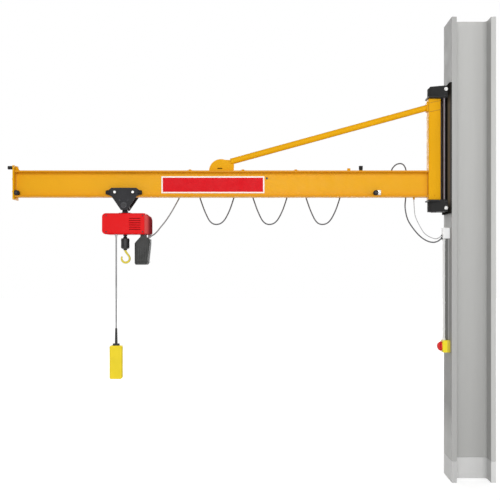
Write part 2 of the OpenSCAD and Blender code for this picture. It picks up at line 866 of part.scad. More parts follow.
column_foot();
column_shaft();
console_plate();
upper_bracket();
lower_bracket();
spacer_tubes();
pivot_pins();
bracket_bolts();
junction_box();
supply_conduit();
isolator_box();
isolator_knob();
mast();
boom_beam();
tie_strut();
strut_gusset();
end_plate();
trolley_stops();
rail_end_caps();
sign_plate();
festoon_rail();
rail_arms();
fixed_cable_clamp();
boom_cable();
slew_cable();
control_cable();
festoon_loop_3();
carrier_3();
festoon_loop_2();
carrier_2();
festoon_loop_1();
carrier_1();
hoist_lead();
trolley_side_plates();
trolley_wheels();
wheel_axles();
trolley_buffers();
load_bar();
suspension_lug();
hoist_body();
hoist_end_cap();
chain_container();
cable_glands();
pendant_cable();
pendant_boot();
pendant_body();
pendant_buttons();
load_chain();
hook_block();
hook();
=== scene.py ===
import json
import math
from itertools import product

import bmesh
import bpy
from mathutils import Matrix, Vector


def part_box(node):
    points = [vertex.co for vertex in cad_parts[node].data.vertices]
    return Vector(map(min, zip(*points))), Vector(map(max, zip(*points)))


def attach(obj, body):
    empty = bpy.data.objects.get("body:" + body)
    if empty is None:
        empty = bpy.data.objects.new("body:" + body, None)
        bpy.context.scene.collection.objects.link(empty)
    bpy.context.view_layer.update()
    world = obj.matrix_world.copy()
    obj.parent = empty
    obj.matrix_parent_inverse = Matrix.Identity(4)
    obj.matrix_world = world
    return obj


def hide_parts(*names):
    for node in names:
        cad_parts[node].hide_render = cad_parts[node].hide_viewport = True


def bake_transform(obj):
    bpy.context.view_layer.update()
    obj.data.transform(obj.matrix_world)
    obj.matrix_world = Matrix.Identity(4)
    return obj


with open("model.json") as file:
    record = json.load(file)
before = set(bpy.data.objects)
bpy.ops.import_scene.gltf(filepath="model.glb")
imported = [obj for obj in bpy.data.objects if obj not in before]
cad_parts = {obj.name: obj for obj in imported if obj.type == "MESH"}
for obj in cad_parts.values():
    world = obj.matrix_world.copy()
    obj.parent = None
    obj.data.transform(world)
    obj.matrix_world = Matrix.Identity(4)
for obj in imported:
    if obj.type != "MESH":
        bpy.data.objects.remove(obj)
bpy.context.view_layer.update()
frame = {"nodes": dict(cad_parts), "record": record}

BOX = {name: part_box(name) for name in frame["nodes"]}
X, Y, Z = Vector((1, 0, 0)), Vector((0, 1, 0)), Vector((0, 0, 1))
SIDES = (-1, 1)
scene = bpy.context.scene


def centre(name):
    """Middle of a node's box as three numbers."""
    return [(a + b) / 2 for a, b in zip(*BOX[name])]


def placed(data):
    """A new object in the scene that carries this data and its name."""
    obj = bpy.data.objects.new(data.name, data)
    scene.collection.objects.link(obj)
    return obj


# ---- camera ----

def build_camera():
    data = bpy.data.cameras.new("camera")
    camera = placed(data)
    data.lens = 62.6
    data.sensor_width = 36
    data.shift_x = -0.044
    data.shift_y = 0.021
    camera.location = (-1.46, -6.43, 1.607)
    camera.rotation_euler = (math.radians(90), 0, 0)
    scene.camera = camera


build_camera()


# ---- materials ----

MATERIALS = {}
WHITE = (1.0, 1.0, 1.0, 1.0)
BLACK = (0.0, 0.0, 0.0, 1.0)


def linear(r, g, b):
    """An sRGB colour of 0 to 255 as linear values with alpha."""
    def one(v):
        v /= 255
        return v / 12.92 if v <= 0.04045 else ((v + 0.055) / 1.055) ** 2.4
    return one(r), one(g), one(b), 1.0


def shade(colour, factor):
    return tuple(min(1.0, c * factor) for c in colour[:3]) + (1.0,)


class Tree:
    """A node tree, with short calls for the nodes that materials and the world share."""

    def __init__(self, tree):
        self.tree = tree

    def feed(self, socket, value):
        """Set a constant on a socket, or link another node's output to it."""
        if isinstance(value, (int, float, tuple)):
            socket.default_value = value
        else:
            self.tree.links.new(value, socket)

    def new(self, kind, **inputs):
        node = self.tree.nodes.new("ShaderNode" + kind)
        for name, value in inputs.items():
            self.feed(node.inputs[name.replace("_", " ")], value)
        return node

    def math(self, operation, *values):
        node = self.new("Math")
        node.operation = operation
        for socket, value in zip(node.inputs, values):
            self.feed(socket, value)
        return node.outputs["Value"]

    def remap(self, value, start, end, low=0.0, high=1.0):
        """A value's range from start to end spread from low to high."""
        return self.new("MapRange", Value=value, From_Min=start, From_Max=end,
                        To_Min=low, To_Max=high).outputs["Result"]

    def seen_directly(self):
        """1 for rays from the camera, off a mirror surface or through glass, otherwise 0."""
        path = self.new("LightPath").outputs
        glossy = self.math("MAXIMUM", path["Is Camera Ray"], path["Is Glossy Ray"])
        return self.math("MAXIMUM", glossy, path["Is Transmission Ray"])


class Nodes(Tree):
    """A new material in MATERIALS, with short calls for the nodes that the finishes share."""

    def __init__(self, name):
        self.material = bpy.data.materials.new(name)
        self.material.use_nodes = True
        super().__init__(self.material.node_tree)
        self.shader = self.tree.nodes["Principled BSDF"]
        self.place = self.new("TexCoord").outputs["Object"]
        MATERIALS[name] = self.material

    def stretched(self, scale):
        return self.new("Mapping", Vector=self.place, Scale=scale).outputs["Vector"]

    def noise(self, scale, detail=4.0, place=None, rough=0.55):
        return self.new("TexNoise", Vector=place or self.place, Scale=scale, Detail=detail,
                        Roughness=rough).outputs["Fac"]

    def ramp(self, value, *stops):
        node = self.new("ValToRGB", Fac=value)
        points = node.color_ramp.elements
        while len(points) < len(stops):
            points.new(0.5)
        for point, (where, colour) in zip(points, stops):
            point.position = where
            point.color = colour
        return node.outputs["Color"]

    def mix(self, factor, a, b):
        node = self.new("Mix", Factor=factor)
        node.data_type = "RGBA"
        self.feed(node.inputs[6], a)
        self.feed(node.inputs[7], b)
        return node.outputs[2]

    def between(self, noise, low, high):
        """The middle of a noise's range spread from low to high."""
        return self.remap(noise, 0.3, 0.7, low, high)

    def flecked(self, noise, most, under, over):
        """One colour under another that the noise lets show up to a share of most."""
        return self.mix(self.between(noise, 0.0, most), under, over)

    def along(self, axis, start, end, mirrored=False):
        """0 to 1 as a coordinate, or its distance from zero, goes from start to end."""
        value = self.new("SeparateXYZ", Vector=self.place).outputs[axis]
        return self.remap(self.math("ABSOLUTE", value) if mirrored else value, start, end)

    def fade(self, axis, start, end, a, b, mirrored=False):
        """Colour a up to one coordinate, b from another."""
        return self.mix(self.along(axis, start, end, mirrored), a, b)

    def bump(self, height, depth, strength=1.0, under=None):
        node = self.new("Bump", Height=height, Distance=depth, Strength=strength)
        if under:
            self.feed(node.inputs["Normal"], under)
        return node.outputs["Normal"]

    def set(self, **values):
        for name, value in values.items():
            self.feed(self.shader.inputs[name.replace("_", " ")], value)


def orange_peel(n):
    """Surface of sprayed paint: a fine peel over broad unevenness."""
    return n.bump(n.noise(60, 3), 0.0008, 0.25, n.bump(n.noise(420, 2), 0.0006, 0.5))


def painted(name, colour, rough=0.42, spread=0.05, dirt=0.1, gloss=0.3):
    """Sprayed paint: broad shade, fine speckle, thin dust in patches and orange peel."""
    n = Nodes(name)
    broad = n.ramp(n.noise(1.7, 3), (0.3, shade(colour, 1 - spread)),
                   (0.7, shade(colour, 1 + spread)))
    speckled = n.flecked(n.noise(240, 5, rough=0.7), 0.12, broad, shade(colour, 0.8))
    n.set(
        Base_Color=n.flecked(n.noise(9, 6, rough=0.68), dirt, speckled, shade(colour, 0.72)),
        Roughness=n.between(n.noise(14, 4), rough - 0.07, rough + 0.09),
        Normal=orange_peel(n),
        Specular_IOR_Level=gloss,
    )


def column_paint(name, colour, low, high):
    """Grey paint with painted shade: darker towards the foot, on the left flange's outer face, on
    the left flange edge and in the right flange's root, with a painted highlight on the right
    flange edge; with runs and dust.
    """
    n = Nodes(name)
    low_corner, high_corner = BOX["column_shaft"]
    face_x, edge_y = low_corner.x, high_corner.y
    # Painted shade: darker towards the foot
    shade_towards_foot = n.fade("Z", low, high, shade(colour, 0.88), shade(colour, 1.04))
    # Painted shade on the left flange's outer face above 0.55 m, painted light on it below 0.3 m
    outer = n.fade("Z", 0.3, 0.55, shade(colour, 1.1), shade(colour, 0.66))
    faced = n.fade("X", face_x, face_x + 0.0008, outer, shade_towards_foot)
    # Painted shade on the left flange edge, painted highlight on the right flange edge
    edge = n.fade("X", -0.01, 0.01, shade(colour, 0.8), shade(colour, 1.06))
    edges_lit_and_shaded = n.fade("Y", edge_y - 0.0015, edge_y - 0.0002, faced, edge, mirrored=True)
    # Painted shade: dark band in the root where the web meets the right flange
    root_shade_band = n.ramp(n.along("X", 0.085, 0.1275), (0.1, BLACK), (0.55, WHITE), (0.91, WHITE),
                  (0.95, BLACK))
    with_root_shade = n.mix(root_shade_band, edges_lit_and_shaded, shade(colour, 0.82))
    runs = n.noise(5, 5, n.stretched((6, 6, 0.35)), 0.6)
    streaked = n.flecked(runs, 0.1, with_root_shade, shade(colour, 0.74))
    n.set(
        Base_Color=n.flecked(n.noise(210, 5, rough=0.7), 0.07, streaked, shade(colour, 0.7)),
        Roughness=n.between(n.noise(11, 4), 0.5, 0.66),
        Normal=n.bump(n.noise(16, 4), 0.0012, 0.22, n.bump(n.noise(380, 2), 0.0006, 0.45)),
        Specular_IOR_Level=0.16,
    )


def moulded(name, colour, rough=0.5, grain=0.6, spread=0.04):
    """Moulded plastic: even colour with a fine spark-eroded grain."""
    n = Nodes(name)
    tone = n.ramp(n.noise(6, 3), (0.35, shade(colour, 1 - spread)),
                  (0.65, shade(colour, 1 + spread)))
    n.set(
        Base_Color=n.flecked(n.noise(45, 8, rough=0.75), 0.12, tone, shade(colour, 1.25)),
        Roughness=n.between(n.noise(30, 5), rough - 0.08, rough + 0.08),
        Normal=n.bump(n.noise(900, 2), 0.0004, grain),
        Specular_IOR_Level=0.4,
    )


def rubbered(name, colour, rough=0.72):
    """Rubber or cable jacket: matt, with a grey bloom and small scuffs."""
    n = Nodes(name)
    n.set(
        Base_Color=n.ramp(n.noise(18, 5), (0.3, shade(colour, 0.8)), (0.72, shade(colour, 1.35))),
        Roughness=n.between(n.noise(50, 4), rough - 0.1, rough + 0.12),
        Normal=n.bump(n.noise(700, 3), 0.0005, 0.6),
        Specular_IOR_Level=0.3,
    )


def steel(name, colour, rough=0.35, along=(1, 1, 1), metallic=0.9):
    """Worked or plated steel: fine lines along the lay, spangle and dull patches."""
    n = Nodes(name)
    lay = n.noise(160, 4, n.stretched(along))
    spangle = n.ramp(n.noise(35, 6, rough=0.65), (0.3, shade(colour, 0.82)),
                     (0.7, shade(colour, 1.12)))
    n.set(
        Base_Color=n.flecked(lay, 0.25, spangle, shade(colour, 0.7)),
        Metallic=metallic,
        Roughness=n.between(lay, rough - 0.08, rough + 0.12),
        Normal=n.bump(lay, 0.0004, 0.4),
    )


def boom_paint(name, colour, edge):
    """Sprayed paint with painted shade on the flange edges and right under the upper flange."""
    n = Nodes(name)
    flange_y, flange_z = BOX["boom_beam"][1].y, 2.256
    broad = n.ramp(n.noise(1.3, 3), (0.3, shade(colour, 0.97)), (0.7, shade(colour, 1.03)))
    specks = n.flecked(n.noise(240, 5, rough=0.7), 0.12, broad, shade(colour, 0.8))
    # Painted shade on the web right under the upper flange
    shade_under_flange = n.mix(n.noise(3, 2), edge, specks)
    web = n.fade("Z", flange_z - 0.02, flange_z, specks, shade_under_flange)
    n.set(
        # Painted shade on the flange edges
        Base_Color=n.fade("Y", flange_y - 0.003, flange_y - 0.0005, web, edge, mirrored=True),
        Roughness=n.between(n.noise(14, 4), 0.32, 0.48),
        Normal=orange_peel(n),
        Specular_IOR_Level=0.12,
    )


def console_plate_paint(name, reflection_brown, edge):
    """Black paint with a painted brown reflection on the near side of the plate between the two
    brackets, painted shadow on the rest of its face and next to both brackets, and a lighter rim
    along its side edges.
    """
    n = Nodes(name)
    half = BOX["console_plate"][1].y
    # Painted reflection: mottled brown on the near side of the plate's face
    reflected_brown = n.flecked(n.noise(26, 5, n.stretched((1, 1, 0.2))), 0.35, reflection_brown, shade(reflection_brown, 0.6))
    # Painted shadow: dark on the rest of the face
    face = n.fade("Y", -half / 2, -half / 2 + 0.01, reflected_brown, shade(edge, 0.45))
    rimmed = n.fade("Y", half - 0.002, half - 0.0005, face, edge, mirrored=True)
    # Painted shadow next to the lower and the upper bracket
    black = shade(edge, 0.3)
    shadow_at_lower_bracket = n.fade("Z", 1.99, 2.05, black, rimmed)
    n.set(
        Base_Color=n.fade("Z", 2.74, 2.82, shadow_at_lower_bracket, black),
        Roughness=n.between(n.noise(14, 4), 0.45, 0.6),
        Normal=n.bump(n.noise(420, 2), 0.0006, 0.5),
        Specular_IOR_Level=0.0,
    )


def cap_paint(name, colour, shaded_end_colour, start, end):
    """Matt red paint with painted shade: darker along X towards the rounded end of the cap."""
    n = Nodes(name)
    # Painted shade towards the rounded end
    tone = n.fade("X", start, end, colour, shaded_end_colour)
    n.set(
        Base_Color=n.flecked(n.noise(70, 6, rough=0.7), 0.08, tone, shade(shaded_end_colour, 0.7)),
        Roughness=n.between(n.noise(16, 4), 0.55, 0.7),
        Normal=n.bump(n.noise(420, 2), 0.0004, 0.4),
        Specular_IOR_Level=0.0,
    )


def rough_cast(name, colour, rough=0.6, metallic=0.0):
    """Forged or cast surface under thin paint: pits and darker hollows."""
    n = Nodes(name)
    pits = n.noise(120, 6, rough=0.7)
    n.set(
        Base_Color=n.ramp(pits, (0.32, shade(colour, 0.6)), (0.48, colour),
                          (0.75, shade(colour, 1.1))),
        Metallic=metallic,
        Roughness=n.between(pits, rough + 0.12, rough - 0.1),
        Normal=n.bump(pits, 0.0012, 0.5),
    )


YELLOW = linear(233, 170, 18)
GRILLE = linear(96, 30, 34)

# Finishes of the slots in the part's record
# The column's and the foot's paint carry painted shade, darker towards the foot
column_paint("column_paint", linear(192, 192, 190), 0.16, 3.37)
column_paint("foot_paint", linear(214, 214, 213), -0.4, 0.2)
painted("console_paint", linear(38, 38, 38), rough=0.5, gloss=0.15)
painted("jib_paint", YELLOW, rough=0.38, spread=0.03, dirt=0.06, gloss=0.04)
steel("zinc", linear(214, 214, 212), 0.36, (1, 1, 1), 0.55)
steel("pin_steel", linear(104, 98, 103), 0.42, (1, 1, 30))
rubbered("rubber", linear(24, 24, 25))
moulded("white_plastic", linear(243, 243, 243), spread=0.015)
moulded("grey_plastic", linear(228, 228, 226), spread=0.02)
moulded("yellow_plastic", linear(240, 220, 20), 0.38)
moulded("red_plastic", linear(208, 26, 20), 0.34)
painted("sign_red", linear(216, 10, 26), rough=0.4, spread=0.02, dirt=0.03, gloss=0.08)
rubbered("cable_jacket", linear(98, 98, 101))
rubbered("grey_cable", linear(176, 176, 178))
painted("trolley_paint", linear(40, 40, 43), rough=0.46, gloss=0.15)
rough_cast("wheel_steel", linear(120, 121, 124), 0.45, 0.6)
painted("hoist_red", linear(228, 10, 16), rough=0.36, spread=0.03, dirt=0.05, gloss=0.12)
# End cap: painted shade from pink to maroon towards its rounded end
cap_paint("end_cap", linear(206, 82, 80), linear(146, 44, 50), -2.372, -2.356)
moulded("container", linear(38, 39, 38), 0.55, 0.9)
moulded("black_plastic", linear(24, 24, 26), 0.45)
moulded("pendant_yellow", linear(234, 208, 14), 0.46)
steel("dark_steel", linear(58, 58, 60), 0.45)
steel("chain_steel", linear(92, 92, 95), 0.38)
rough_cast("hook_paint", linear(226, 208, 60), 0.55)

# Finishes that single pieces have in place of their slot's own
# Boom: the second colour is the painted shade on the flange edges and under the upper flange
boom_paint("boom_paint", YELLOW, linear(214, 144, 20))
rough_cast("weld_under_paint", shade(YELLOW, 0.72), 0.5)
rough_cast("weld_under_black", linear(44, 44, 45), 0.55)
rough_cast("weld_under_grey", linear(176, 176, 175), 0.55)
rubbered("pendant_cable_jacket", linear(142, 142, 143))
# Console plate: painted brown reflection, and the edge colour whose darker shades are painted
# shadow
console_plate_paint("console_plate_paint", linear(118, 109, 95), linear(66, 63, 59))
painted("slot_shade", shade(YELLOW, 0.12), rough=0.7, gloss=0.05)
moulded("isolator_base_plastic", linear(206, 186, 48), 0.5)
# Dark grey of the conduit's channel, also painted shade of the gap behind the conduit
painted("channel_grey", linear(112, 112, 110), rough=0.55, gloss=0.2)
painted("sign_white", linear(244, 244, 242), rough=0.35, spread=0.01, dirt=0.03)
painted("louvre_shade", linear(140, 12, 18), rough=0.6, gloss=0.05)
cap_paint("grille_red", GRILLE, GRILLE, -2.378, -2.364)


# ---- mesh helpers ----

def around(count):
    """Angles of count even steps round a full turn."""
    return [2 * math.pi * k / count for k in range(count)]


def across(axis):
    """Two directions square to an axis and to each other."""
    a = Vector(axis).normalized()
    side = X if abs(a.x) < 0.9 else Y
    u = a.cross(side).normalized()
    return a, u, a.cross(u)


def lathe(bm, foot, axis, profile, n=24):
    """Turned solid or ring on an axis: profile is (radius, distance along the axis)."""
    a, u, v = across(axis)
    rings = []
    for r, h in profile:
        middle = Vector(foot) + a * h
        angles = around(n) if r > 1e-7 else [0.0]
        rings.append([bm.verts.new(middle + r * (math.cos(t) * u + math.sin(t) * v))
                      for t in angles])
    for low, high in zip(rings, rings[1:]):
        for k in range(n):
            corners = [low[k % len(low)], low[(k + 1) % len(low)],
                       high[(k + 1) % len(high)], high[k % len(high)]]
            unique = list(dict.fromkeys(corners))
            if len(unique) > 2:
                bm.faces.new(unique)


def turned(bm, foot, axis, profile, n=24):
    """Turned solid or ring with its profile in millimetres."""
    lathe(bm, foot, axis, [(r / 1000, h / 1000) for r, h in profile], n)


def disc(bm, foot, axis, r, h, edge=None, n=24):
    """Round plate or boss with a small chamfer."""
    e = min(r, h) * 0.18 if edge is None else edge
    lathe(bm, foot, axis, [(0, 0), (r - e, 0), (r, e), (r, h - e), (r - e, h), (0, h)], n)


def hexagon(bm, foot, axis, flats, h):
    """Hexagon head or nut with chamfered corners."""
    r = flats / math.sqrt(3)
    lathe(bm, foot, axis, [(0, 0), (r, 0), (r, h * 0.8), (r * 0.9, h), (0, h)], 6)


def bolt(bm, foot, axis, size):
    """Washer, hexagon head and the mark of its chamfer, for a thread of this size."""
    a = Vector(axis).normalized()
    disc(bm, foot, a, size * 1.05, size * 0.16, size * 0.03)
    head = Vector(foot) + a * size * 0.16
    hexagon(bm, head, a, size * 1.6, size * 0.62)
    disc(bm, head + a * size * 0.62, a, size * 0.62, size * 0.05, size * 0.02, 18)


def socket_screw(bm, foot, axis, size):
    """Cap screw: round head with a hexagon recess."""
    r, h = size * 0.8, size * 0.75
    lathe(bm, foot, axis, [(0, 0), (r, 0), (r, h * 0.85), (r * 0.88, h), (r * 0.5, h),
                           (r * 0.5, h * 0.45), (0, h * 0.4)], 18)


def slab(bm, low, high, edge=0.0):
    """Box between two corners with its edges bevelled."""
    low, high = Vector(low), Vector(high)
    made = bmesh.ops.create_cube(bm, size=1)["verts"]
    bmesh.ops.scale(bm, vec=high - low, verts=made)
    bmesh.ops.translate(bm, vec=(low + high) / 2, verts=made)
    if edge:
        edges = list(dict.fromkeys(e for v in made for e in v.link_edges))
        bmesh.ops.bevel(bm, geom=edges, offset=edge, segments=2, affect="EDGES", profile=0.5)


def prism(bm, outline, origin, u, v, depth):
    """Outline of (u, v) points pushed from origin along u x v by depth."""
    u, v = Vector(u), Vector(v)
    w = u.cross(v).normalized() * depth
    low = [bm.verts.new(Vector(origin) + a * u + b * v) for a, b in outline]
    high = [bm.verts.new(p.co + w) for p in low]
    bm.faces.new(list(reversed(low)))
    bm.faces.new(high)
    for k in range(len(low)):
        m = (k + 1) % len(low)
        bm.faces.new([low[k], low[m], high[m], high[k]])


def tube(bm, path, radii, n=12, side=Y, closed=False):
    """Round bar along a path, with one radius or one for each point."""
    path = [Vector(p) for p in path]
    count = len(path)
    radii = [radii] * count if isinstance(radii, (int, float)) else radii
    rings = []
    for i, p in enumerate(path):
        before = path[(i - 1) % count] if closed else path[max(i - 1, 0)]
        after = path[(i + 1) % count] if closed else path[min(i + 1, count - 1)]
        t = (after - before).normalized()
        u = (side - side.dot(t) * t).normalized()
        v = t.cross(u)
        rings.append([bm.verts.new(p + radii[i] * (math.cos(a) * u + math.sin(a) * v))
                      for a in around(n)])
    pairs = list(zip(rings, rings[1:])) + ([(rings[-1], rings[0])] if closed else [])
    for low, high in pairs:
        for k in range(n):
            bm.faces.new([low[k], low[(k + 1) % n], high[(k + 1) % n], high[k]])
    if not closed:
        bm.faces.new(list(reversed(rings[0])))
        bm.faces.new(rings[-1])


def rounded_loop(middle, u, v, half_u, half_v, r):
    """Closed path round a rectangle whose corners have the radius r."""
    path = []
    for way_u, way_v, start in ((1, 1, 0), (-1, 1, 90), (-1, -1, 180), (1, -1, 270)):
        for k in range(7):
            a = math.radians(start + k * 15)
            path.append(Vector(middle) + u * (way_u * (half_u - r) + r * math.cos(a))
                        + v * (way_v * (half_v - r) + r * math.sin(a)))
    return path


def bead(bm, start, end, r):
    """Weld bead from start to end: overlapping ripples along a line."""
    start, end = Vector(start), Vector(end)
    half_ripple = 0.007 / 2
    steps = max(4, int((end - start).length / half_ripple))
    path = [start.lerp(end, k / steps) for k in range(steps + 1)]
    radii = [r * (0.86 + 0.14 * (k % 2)) for k in range(steps + 1)]
    direction = (end - start).normalized()
    tube(bm, path, radii, 8, X if abs(direction.y) > 0.9 else Y)


def piece(name, body, material, *builders, slot=None, sharp=35):
    """One object from mesh builders, riding on a body; the slot argument is not used."""
    bm = bmesh.new()
    for build in builders:
        build(bm)
    bmesh.ops.recalc_face_normals(bm, faces=bm.faces)
    mesh = bpy.data.meshes.new(name)
    bm.to_mesh(mesh)
    bm.free()
    mesh.shade_smooth()
    mesh.set_sharp_from_angle(angle=math.radians(sharp))
    mesh.materials.append(MATERIALS[material])
    obj = placed(mesh)
    if body:
        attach(obj, body)
    return obj


def on(body):
    """Decorator that makes a piece on this body from the mesh builder below it."""
    def decorator(name, material, slot=None):
        return lambda builder: piece(name, body, material, builder, slot=slot)
    return decorator


on_trolley, on_jib, on_column = on("trolley"), on("jib"), on("column")


# ---- cords ----

FESTOON_D = 0.01

# In millimetres: the fixed clamp, the carriers' spacing and the rail's middle
CLAMP_X = -880
PITCH = 400
RAIL_Y = 130

# Routes in millimetres; a loop's points are (x, z) with x from the loop's middle
LOOP_POINTS = [
    (-180, 2193), (-177, 2193), (-174, 2193), (-163, 2190), (-155, 2181), (-149, 2165),
    (-142, 2143), (-134, 2118), (-122, 2076), (-107, 2032), (-91, 1988), (-73, 1947),
    (-54, 1911), (-30, 1887), (0, 1879), (33, 1887), (60, 1911), (82, 1947), (101, 1988),
    (117, 2032), (131, 2076), (143, 2118), (148, 2146), (152, 2168), (157, 2182), (165, 2190),
    (174, 2193), (177, 2193), (180, 2193),
]
LEAD_ROUTE = [
    (-2363, 87, 1792), (-2359.5, 90, 1794), (-2356, 93, 1796), (-2347, 100, 1802),
    (-2337, 106, 1811), (-2320, 112, 1829), (-2303, 117, 1852), (-2281, 122, 1880),
    (-2259, 126, 1909), (-2232, 129, 1950), (-2205, 130, 1995), (-2180, 130, 2040),
    (-2160, 130, 2078), (-2145, 130, 2110), (-2132, 130, 2150), (-2124, 130, 2174),
    (-2115, 130, 2188), (-2106, 130, 2193), (-2103, 130, 2193), (-2100, 130, 2193),
]
BOOM_CABLE_ROUTE = [
    (-860, 130, 2193), (-857, 130, 2193), (-854, 130, 2193), (-820, 127, 2186),
    (-780, 118, 2178), (-735, 104, 2180), (-690, 88, 2192), (-650, 74, 2202),
    (-620, 66, 2206), (-594, 64, 2206), (-590, 64, 2206), (-586, 64, 2206),
]
SLEW_ROUTE = [
    (-572, 64, 2218), (-572, 64, 2222), (-572, 64, 2226), (-571, 65, 2252), (-567, 68, 2280),
    (-552, 73, 2306), (-524, 79, 2328), (-490, 84, 2332), (-467, 88, 2314), (-455, 91, 2280),
    (-452, 92, 2220), (-454, 92, 2150), (-457, 92, 2080), (-462, 90, 2006), (-447, 78, 1921),
    (-413, 58, 1855), (-362, 30, 1789), (-311, 2, 1751), (-269, -20, 1741), (-241, -38, 1749),
    (-227, -45, 1760), (-223, -45, 1763), (-219, -45, 1766),
]
CONTROL_ROUTE = [
    (-406, 30, 2060), (-406, 30, 2056), (-406, 30, 2052), (-404, 29, 2005), (-397, 26, 1940),
    (-382, 20, 1899), (-364, 14, 1861), (-342, 4, 1821), (-317, -6, 1794), (-287, -17, 1777),
    (-257, -25, 1767), (-236, -28, 1772), (-223, -28, 1781), (-219, -28, 1784),
    (-215, -28, 1787),
]
PENDANT_ROUTE = [(-2598, -78, z) for z in (1778, 1670, 1560, 1450, 1340, 1230, 1112)]


def route(points):
    """Smooth path in metres through given points in millimetres."""
    p = [Vector(q) / 1000 for q in points]
    out = []
    for i in range(len(p) - 1):
        a, b, c, d = p[max(i - 1, 0)], p[i], p[i + 1], p[min(i + 2, len(p) - 1)]
        for k in range(4):
            t = k / 4
            out.append(0.5 * (2 * b + (c - a) * t + (2 * a - 5 * b + 4 * c - d) * t * t
                              + (3 * b - a - 3 * c + d) * t ** 3))
    return out + [p[-1]]


def cord(name, node, points, d, material, slot=None,
         body=None):
    path = route(points)
    obj = piece(name, body, material, lambda bm: tube(bm, path, d / 2, 16), slot=slot, sharp=60)
    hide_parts(node)
    return obj


def follow(obj):
    """Bake a cord's transform into its mesh."""
    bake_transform(obj)


def build_cords():
    for k, number in enumerate((3, 2, 1)):
        middle = CLAMP_X - (k + 0.5) * PITCH
        loop = cord(f"festoon_cable_{number}", f"festoon_loop_{number}",
                    [(middle + x, RAIL_Y, z) for x, z in LOOP_POINTS], FESTOON_D,
                    "cable_jacket")
        if k == 0:
            follow(loop)
        else:
            follow(loop)
    lead = cord("hoist_lead_cable", "hoist_lead", LEAD_ROUTE, FESTOON_D, "pendant_cable_jacket",
                "cable_jacket")
    follow(lead)
    cord("boom_cable_run", "boom_cable", BOOM_CABLE_ROUTE, FESTOON_D, "cable_jacket", body="jib")
    slew = cord("slew_cable_run", "slew_cable", SLEW_ROUTE, FESTOON_D, "cable_jacket")
    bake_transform(slew)
    control = cord("control_cable_run", "control_cable", CONTROL_ROUTE, 0.006, "grey_cable")
    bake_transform(control)
    cord("pendant_cable_run", "pendant_cable", PENDANT_ROUTE, 0.011, "pendant_cable_jacket",
         "cable_jacket", body="trolley")


build_cords()


# ---- chain and hook ----

TROLLEY_X, _, BAR_Z = centre("load_bar")


def build_chain():
    """Links at their true size with the hook lowered; at rest the spare ones are in the hoist."""
    wire, pitch, width = 0.0065, 0.0195, 0.0212
    travel = 1.45
    foot = BOX["hook_block"][1].z - 0.006
    low = BOX["hoist_body"][0].z + 0.003
    high = BOX["hoist_body"][1].z - 0.004

    def at_rest(z):
        if z <= low - travel:
            return z + travel
        a, b = low, high
        for _ in range(40):
            middle = (a + b) / 2
            t = (high - middle) / (high - low)
            lowered = middle - travel * t * t * (3 - 2 * t)
            a, b = (middle, b) if lowered < z else (a, middle)
        return (a + b) / 2

    bend = (width - wire) / 2
    straight = (pitch + wire) / 2 - bend
    count = int((high - foot + travel) / pitch)

    def links(bm):
        for i in range(count):
            middle = foot - travel + (i + 0.5) * pitch
            side = X if i % 2 else Y
            loop = []
            for k in range(16):
                a = 2 * math.pi * (k + 0.5) / 16
                lift = straight if math.sin(a) > 0 else -straight
                loop.append(side * bend * math.cos(a) + Z * (bend * math.sin(a) + lift + middle))
            tube(bm, loop, wire / 2, 7, side=X.lerp(Y, 0.5) if i % 2 else Y.lerp(X, -0.5),
                 closed=True)
        for v in bm.verts:
            v.co = Vector((v.co.x + TROLLEY_X, v.co.y, at_rest(v.co.z)))

    chain = piece("load_chain_links", None, "chain_steel", links, sharp=60)
    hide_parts("load_chain")
    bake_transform(chain)


def build_hook_block_trim():
    on_block = on("hook_block")
    low, high = BOX["hook_block"]
    r = (high.x - low.x) / 2
    middle = X * TROLLEY_X
    hoist_foot, hook_top = BOX["hoist_body"][0].z, BOX["hook"][1].z

    @on_block("hook_block_rings", "black_plastic")
    def rings(bm):
        for z in (low.z + 0.022, high.z - 0.018):
            lathe(bm, middle + Z * z, Z, [(r - 0.003, -0.003), (r + 0.001, -0.002), (r + 0.0015, 0),
                                          (r + 0.001, 0.002), (r - 0.003, 0.003)], 40)

    @on_block("hook_block_buffer", "rubber")
    def buffer(bm):
        turned(bm, middle + Z * high.z, Z,
               [(11.8, -1), (15.5, -1), (14, 11.5), (11.8, 12.5), (11.8, -1)], 28)

    @on_trolley("chain_guide", "black_plastic")
    def chain_guide(bm):
        turned(bm, middle + Z * hoist_foot, -Z,
               [(11.8, -1), (15, -1), (15, 9), (13.8, 10.5), (11.8, 10.5), (11.8, -1)], 28)

    @on_block("hook_block_screws", "dark_steel")
    def screws(bm):
        for side, z in product(SIDES, (low.z + 0.036, high.z - 0.03)):
            socket_screw(bm, middle + Vector((0.013, side * (r - 0.0045), z)), Y * side, 0.005)

    @on("hook")("hook_collar", "dark_steel")
    def collar(bm):
        turned(bm, middle + Z * (hook_top - 0.01), Z,
               [(7.5, 0), (12.5, 1), (13.5, 3), (13.5, 9.5), (7.5, 10)], 28)


build_chain()
build_hook_block_trim()


# ---- hoist, trolley and pendant ----

